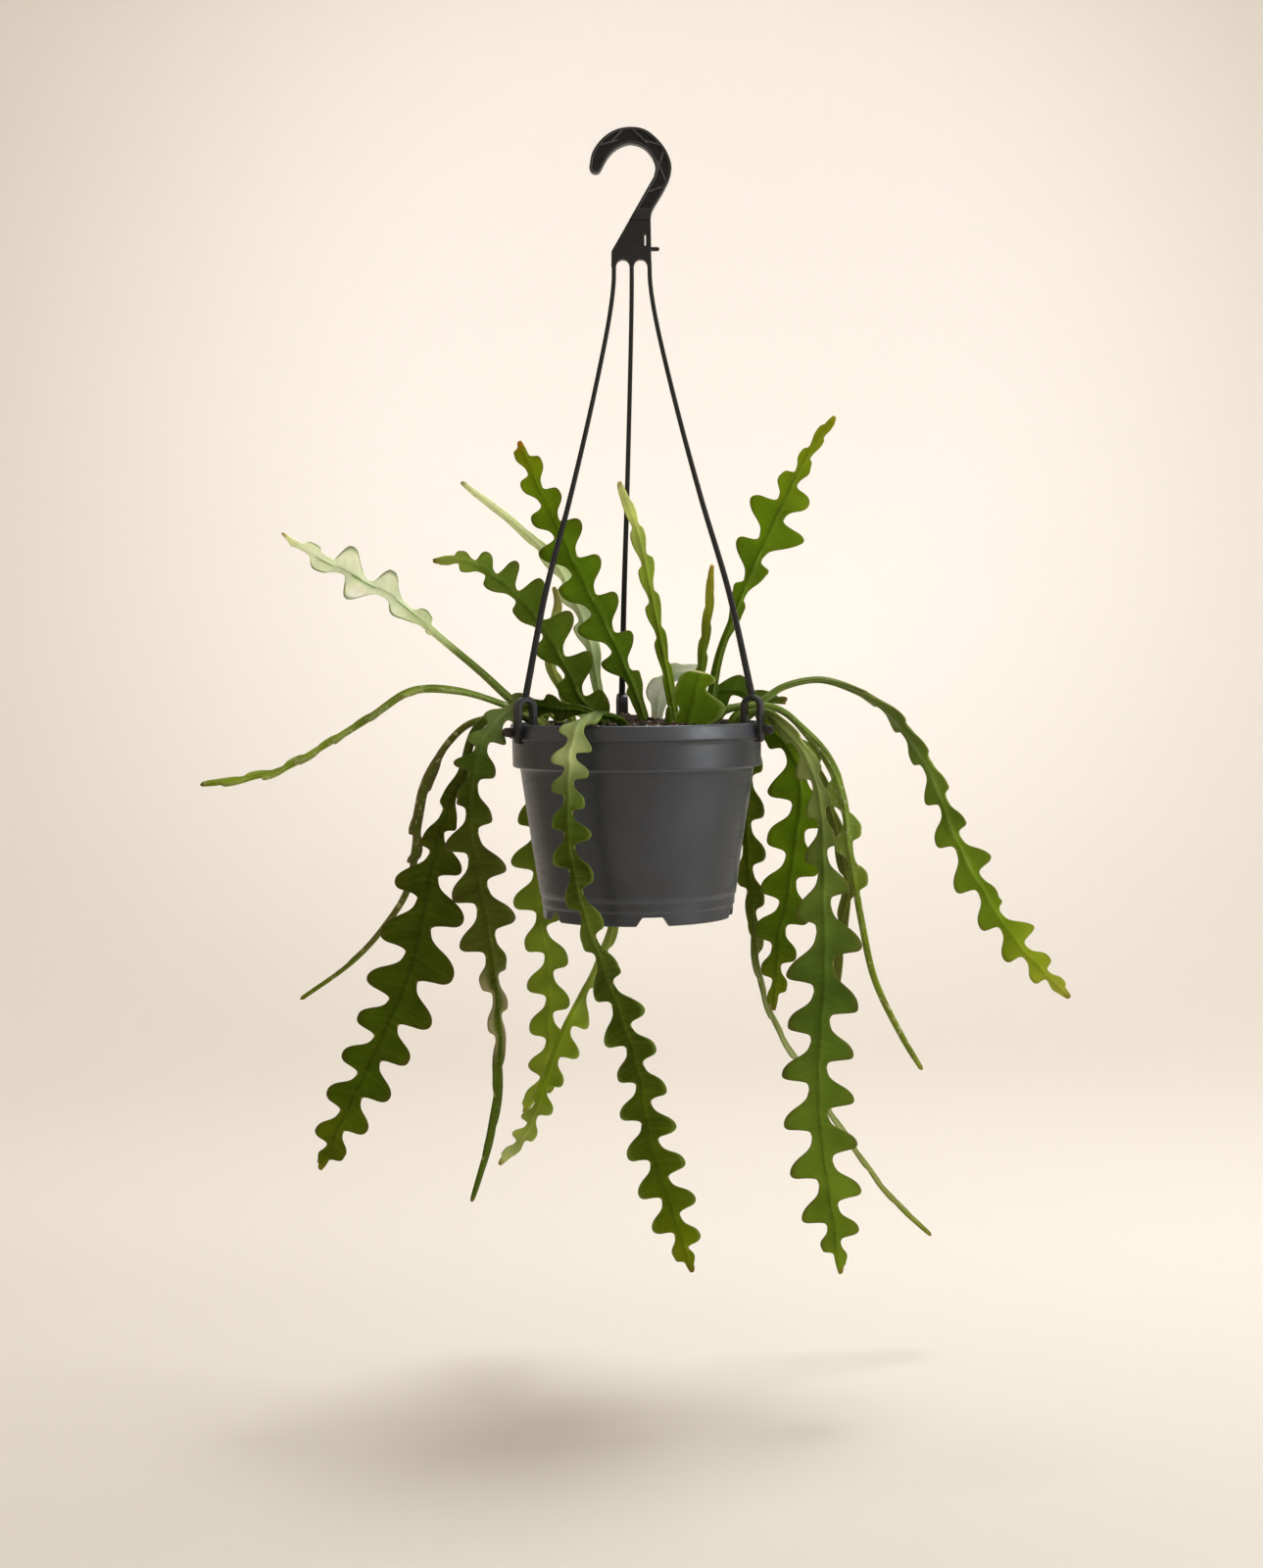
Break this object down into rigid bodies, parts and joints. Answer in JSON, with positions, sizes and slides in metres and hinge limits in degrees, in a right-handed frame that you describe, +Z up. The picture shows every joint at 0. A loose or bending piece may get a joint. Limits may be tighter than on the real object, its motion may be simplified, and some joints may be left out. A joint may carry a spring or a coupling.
{
  "type": "fishbone cactus in a hanging pot",
  "caption": "Fishbone cactus with flat zig-zag stems that rise and trail from a round plastic pot, hung from a one-piece hook with clip-on arms.",
  "frame": {"origin": "the point of the hook that bears on what the pot hangs from", "axes": "+Z up along the hanging line, +X to the right and -Y towards the viewer of the pictured side"},
  "size_m": [0.5173, 0.1676, 0.6722],
  "materials": {
    "pot": "satin",
    "hanger": "satin",
    "soil": "matte",
    "stem": "satin",
    "stem_pale": "satin",
    "stem_corky": "satin"
  },
  "bodies": {
    "root": {"pot": "pot", "hanger": "hanger", "soil": "soil", "stem_up_left": "stem", "stem_back_pale": "stem_pale", "stem_back_thin": "stem_pale", "stem_up_arching": "stem", "stem_up_tall": "stem", "stem_up_narrow": "stem", "stem_up_young": "stem", "stem_up_right": "stem", "stem_short_cut": "stem", "stem_short_round": "stem", "stem_short_pale": "stem_pale", "stem_short_back": "stem", "stem_stub": "stem", "stem_left_arch": "stem", "stem_left_corky": "stem_corky", "stem_left_broad": "stem", "stem_left_front": "stem", "stem_behind_left": "stem", "stem_behind_crossing": "stem", "stem_front": "stem", "stem_behind_right": "stem", "stem_right_bright": "stem", "stem_right_front": "stem", "stem_right_arch": "stem", "stem_right_far": "stem", "stem_right_narrow": "stem"}
  },
  "joints": []
}
